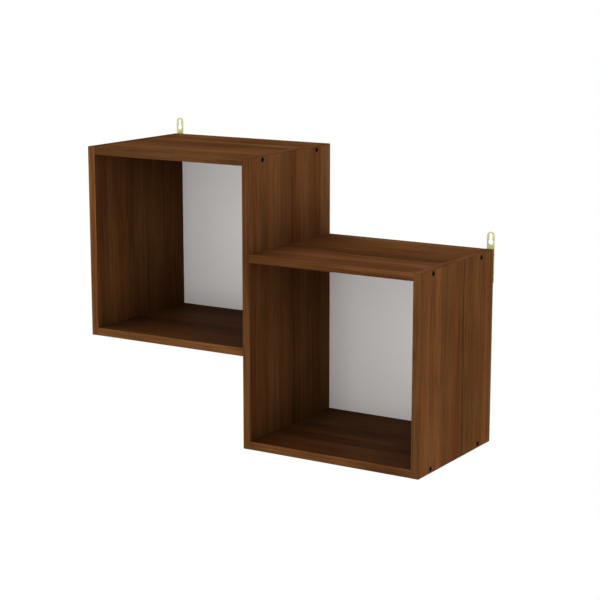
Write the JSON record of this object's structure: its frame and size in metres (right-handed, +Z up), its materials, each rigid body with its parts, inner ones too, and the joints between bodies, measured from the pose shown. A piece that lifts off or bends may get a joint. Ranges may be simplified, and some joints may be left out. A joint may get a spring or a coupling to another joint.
{
  "type": "cube storage unit",
  "caption": "Wall-hung shelf of two open cubes, the left one half a cube higher, sharing a tall middle panel, with white backs and keyhole hanger plates.",
  "frame": {"origin": "centre of the left hanger plate's keyhole entry circle, on the wall plane (the plate's rear face)", "axes": "+X to the right along the wall, +Y into the wall, +Z up"},
  "size_m": [0.744, 0.3, 0.595],
  "materials": {
    "walnut_foil": "satin walnut-grain foil on chipboard",
    "edge_band": "satin walnut-grain edge band",
    "hardboard": "white lacquer on the front face, bare brown fibreboard on the rear face and edges",
    "hanger_steel": "pale yellow zinc plate, satin",
    "black_steel": "black oxide, satin",
    "screw_steel": "pale yellow zinc plate",
    "nail_steel": "bright steel",
    "dowel_wood": "bare beech"
  },
  "bodies": {
    "root": {"left_side_panel": "walnut_foil", "centre_panel": "walnut_foil", "right_side_panel": "walnut_foil", "upper_top_panel": "walnut_foil", "upper_bottom_panel": "walnut_foil", "lower_top_panel": "walnut_foil", "lower_bottom_panel": "walnut_foil", "upper_back_panel": "hardboard", "lower_back_panel": "hardboard", "left_hanger_plate": "hanger_steel", "right_hanger_plate": "hanger_steel", "confirmat_screws": "black_steel", "dowels": "dowel_wood", "hanger_screws": "screw_steel", "upper_back_nails": "nail_steel", "lower_back_nails": "nail_steel", "left_side_front_band": "edge_band", "left_side_bottom_band": "edge_band", "left_side_top_band": "edge_band", "centre_front_band": "edge_band", "centre_bottom_band": "edge_band", "centre_top_band": "edge_band", "right_side_front_band": "edge_band", "right_side_bottom_band": "edge_band", "right_side_top_band": "edge_band", "upper_top_front_band": "edge_band", "upper_bottom_front_band": "edge_band", "lower_top_front_band": "edge_band", "lower_bottom_front_band": "edge_band"}
  },
  "joints": []
}
